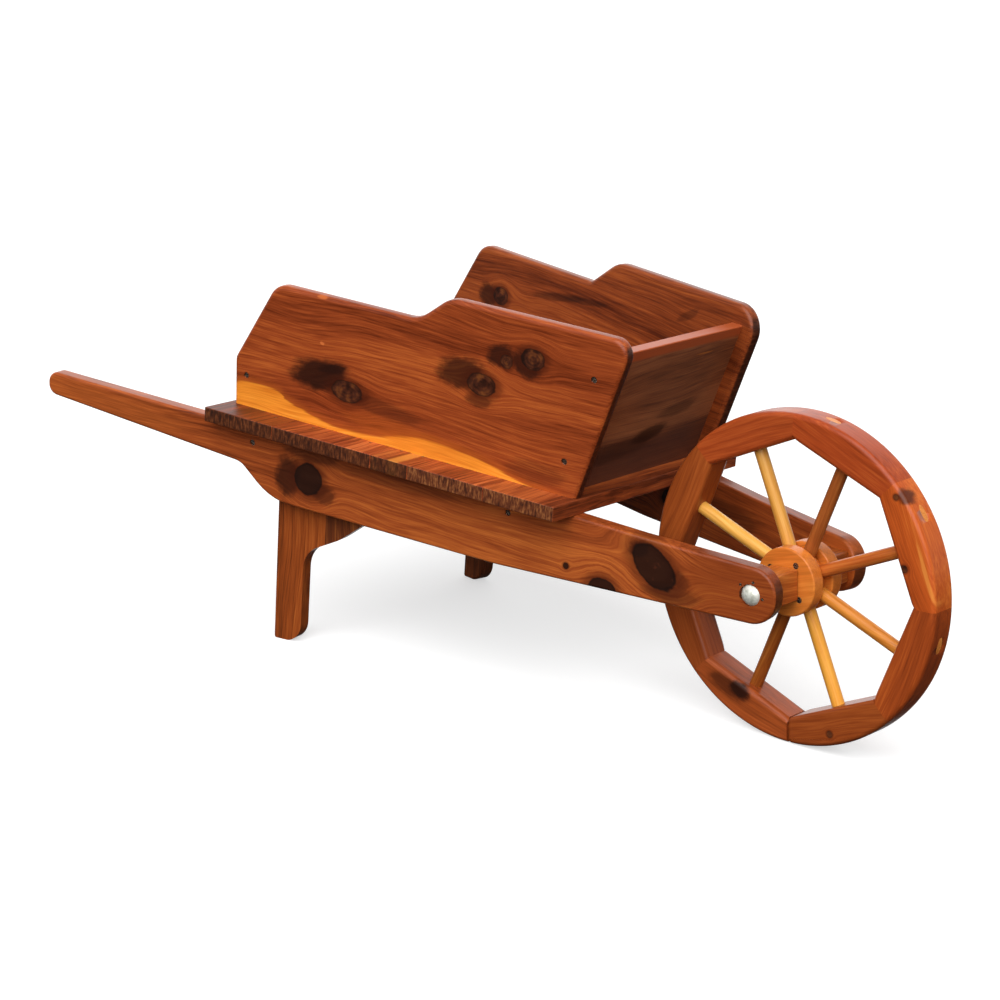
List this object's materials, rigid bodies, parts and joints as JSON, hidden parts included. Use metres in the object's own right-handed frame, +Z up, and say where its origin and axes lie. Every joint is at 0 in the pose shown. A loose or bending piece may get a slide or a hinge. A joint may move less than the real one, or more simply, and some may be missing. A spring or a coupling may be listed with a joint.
{
  "type": "wheelbarrow",
  "caption": "Wooden garden wheelbarrow with splayed rails, slatted floor, shaped side boards and a spoked wooden wheel that turns",
  "frame": {"origin": "on the ground, centred under the bounding box, half way between the handle tips and the front of the wheel rim", "axes": "+X towards the wheel, +Z up, +Y to the left of someone pushing it; the axle lies along Y"},
  "size_m": [1.2624, 0.562, 0.4992],
  "materials": {
    "rail_wood": "gloss varnish over red cedar",
    "leg_wood": "gloss varnish over red cedar",
    "cleat_wood": "gloss varnish over red cedar",
    "slat_wood": "gloss varnish over red cedar",
    "board_wood": "gloss varnish over red cedar",
    "block_wood": "gloss varnish over red cedar",
    "axle_steel": "dull zinc plate",
    "felloe_wood": "gloss varnish over red cedar",
    "spoke_wood": "gloss varnish over hardwood dowel",
    "peg_wood": "gloss varnish over hardwood dowel",
    "hub_wood": "gloss varnish over red cedar",
    "screw_steel": "dark plated steel",
    "nail_steel": "dull bright steel"
  },
  "bodies": {
    "frame": {"rail_right": "rail_wood", "rail_left": "rail_wood", "leg_right": "leg_wood", "leg_left": "leg_wood", "gusset_right": "leg_wood", "gusset_left": "leg_wood", "front_cleat": "cleat_wood", "rear_cleat": "cleat_wood", "floor_slat_1": "slat_wood", "floor_slat_2": "slat_wood", "floor_slat_3": "slat_wood", "floor_slat_4": "slat_wood", "floor_slat_5": "slat_wood", "side_board_right": "board_wood", "side_board_left": "board_wood", "front_board": "board_wood", "tail_board": "board_wood", "spacer_block_right": "block_wood", "spacer_block_left": "block_wood", "axle_bolt": "axle_steel", "axle_washer": "axle_steel", "axle_nut": "axle_steel", "cleat_screws": "screw_steel", "leg_screws": "screw_steel", "panel_screws": "screw_steel", "floor_screws": "screw_steel", "floor_nails": "nail_steel", "block_nails": "nail_steel"},
    "wheel": {"felloe_1": "felloe_wood", "felloe_2": "felloe_wood", "felloe_3": "felloe_wood", "felloe_4": "felloe_wood", "felloe_5": "felloe_wood", "felloe_6": "felloe_wood", "felloe_7": "felloe_wood", "felloe_8": "felloe_wood", "spoke_1": "spoke_wood", "spoke_2": "spoke_wood", "spoke_3": "spoke_wood", "spoke_4": "spoke_wood", "spoke_5": "spoke_wood", "spoke_6": "spoke_wood", "spoke_7": "spoke_wood", "spoke_8": "spoke_wood", "rim_pegs": "peg_wood", "hub_core": "hub_wood", "hub_disc_right": "hub_wood", "hub_disc_left": "hub_wood", "hub_screws": "screw_steel"}
  },
  "joints": [
    {"name": "wheel_turn", "type": "hinge", "parent": "frame", "child": "wheel", "pos_m": [0.42817, 0, 0.203], "axis": [0, 1, 0], "continuous": true}
  ]
}
